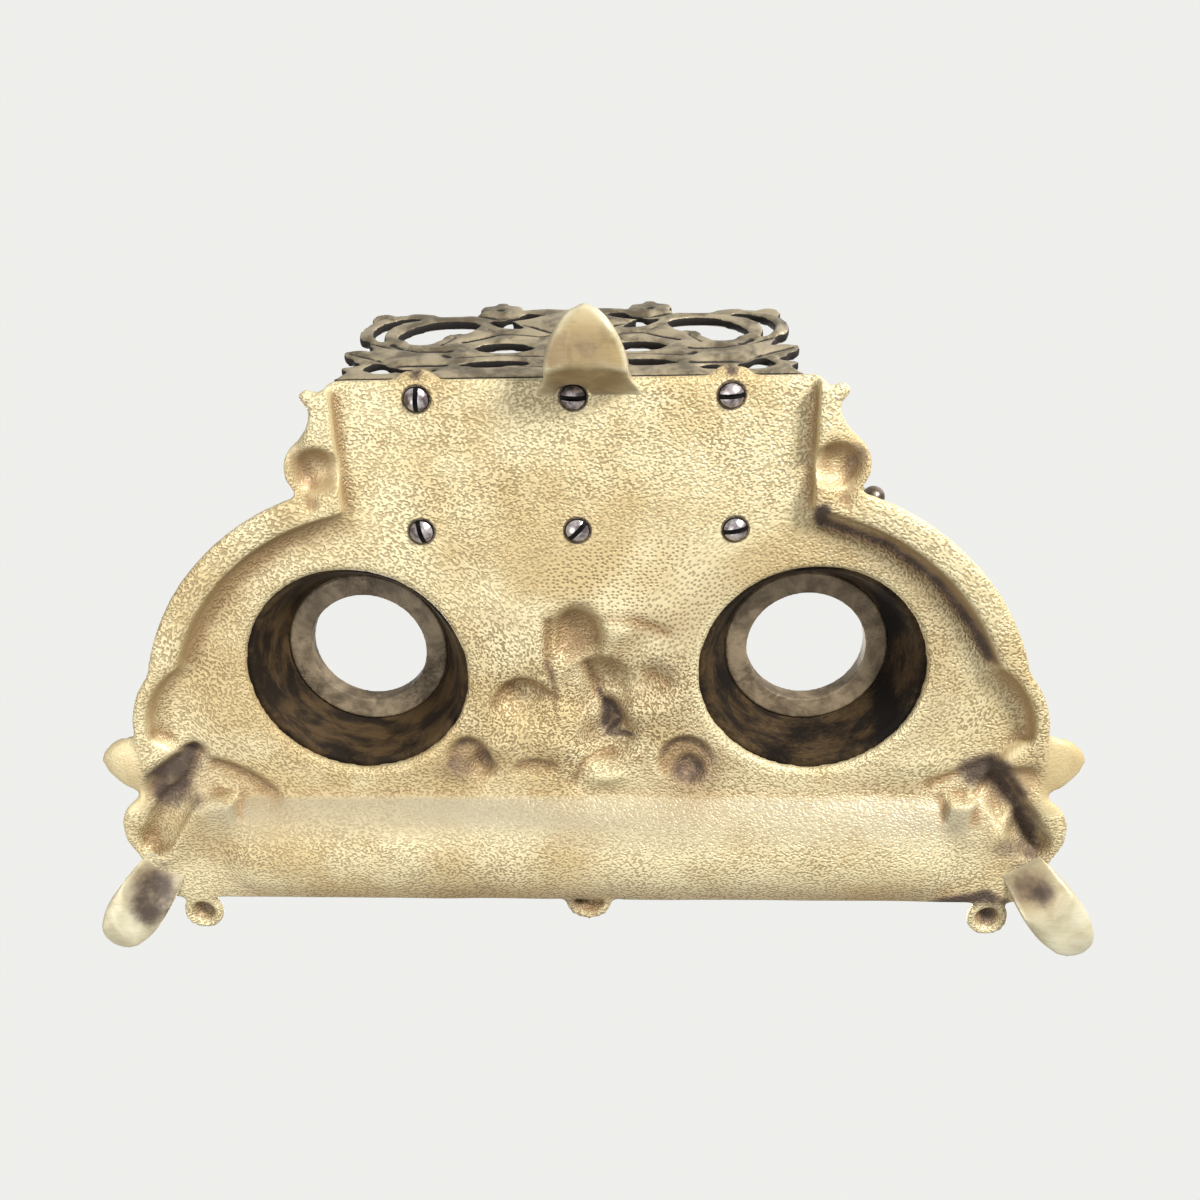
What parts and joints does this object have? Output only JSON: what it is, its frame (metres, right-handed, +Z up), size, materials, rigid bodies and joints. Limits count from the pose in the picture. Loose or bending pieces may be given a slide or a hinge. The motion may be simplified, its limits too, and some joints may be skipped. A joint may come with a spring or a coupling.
{
  "type": "desk inkstand",
  "caption": "Footed cast-metal desk stand with a pen tray, two lidded inkwell pots and a pierced letter rack.",
  "frame": {"origin": "on the table, in the middle of the bounding box", "axes": "+X to the user's right, +Y toward the letter rack, +Z up"},
  "size_m": [0.3064, 0.1984, 0.0868],
  "materials": {
    "raw_cast_brass": "raw cast, pebbled",
    "polished_foot_brass": "rubbed smooth",
    "dark_pot_bronze": "dark, tarnished",
    "collar_bronze": "tarnished",
    "lid_bronze": "tarnished",
    "knob_bronze": "polished",
    "rack_bronze": "tarnished",
    "screw_steel": "worn"
  },
  "bodies": {
    "stand": {"base_casting": "raw_cast_brass", "foot_rear": "polished_foot_brass", "foot_front_left": "polished_foot_brass", "foot_front_right": "polished_foot_brass", "well_pot_left": "dark_pot_bronze", "well_pot_right": "dark_pot_bronze", "well_collar_left": "collar_bronze", "well_collar_right": "collar_bronze", "hinge_lug_left": "collar_bronze", "hinge_lug_right": "collar_bronze", "hinge_pin_left": "screw_steel", "hinge_pin_right": "screw_steel", "rack_rear_panel": "rack_bronze", "rack_front_panel": "rack_bronze", "rear_panel_screws": "screw_steel", "front_panel_screws": "screw_steel"},
    "lid_left": {"lid_left": "lid_bronze", "lid_knob_left": "knob_bronze"},
    "lid_right": {"lid_right": "lid_bronze", "lid_knob_right": "knob_bronze"}
  },
  "joints": [
    {"name": "lid_left_hinge", "type": "hinge", "parent": "stand", "child": "lid_left", "pos_m": [-0.0809, 0.01701, 0.0346], "axis": [0.848, 0.5299, 0], "range_deg": [0, 100]},
    {"name": "lid_right_hinge", "type": "hinge", "parent": "stand", "child": "lid_right", "pos_m": [0.0809, 0.01701, 0.0346], "axis": [0.848, -0.5299, 0], "range_deg": [0, 100]}
  ]
}
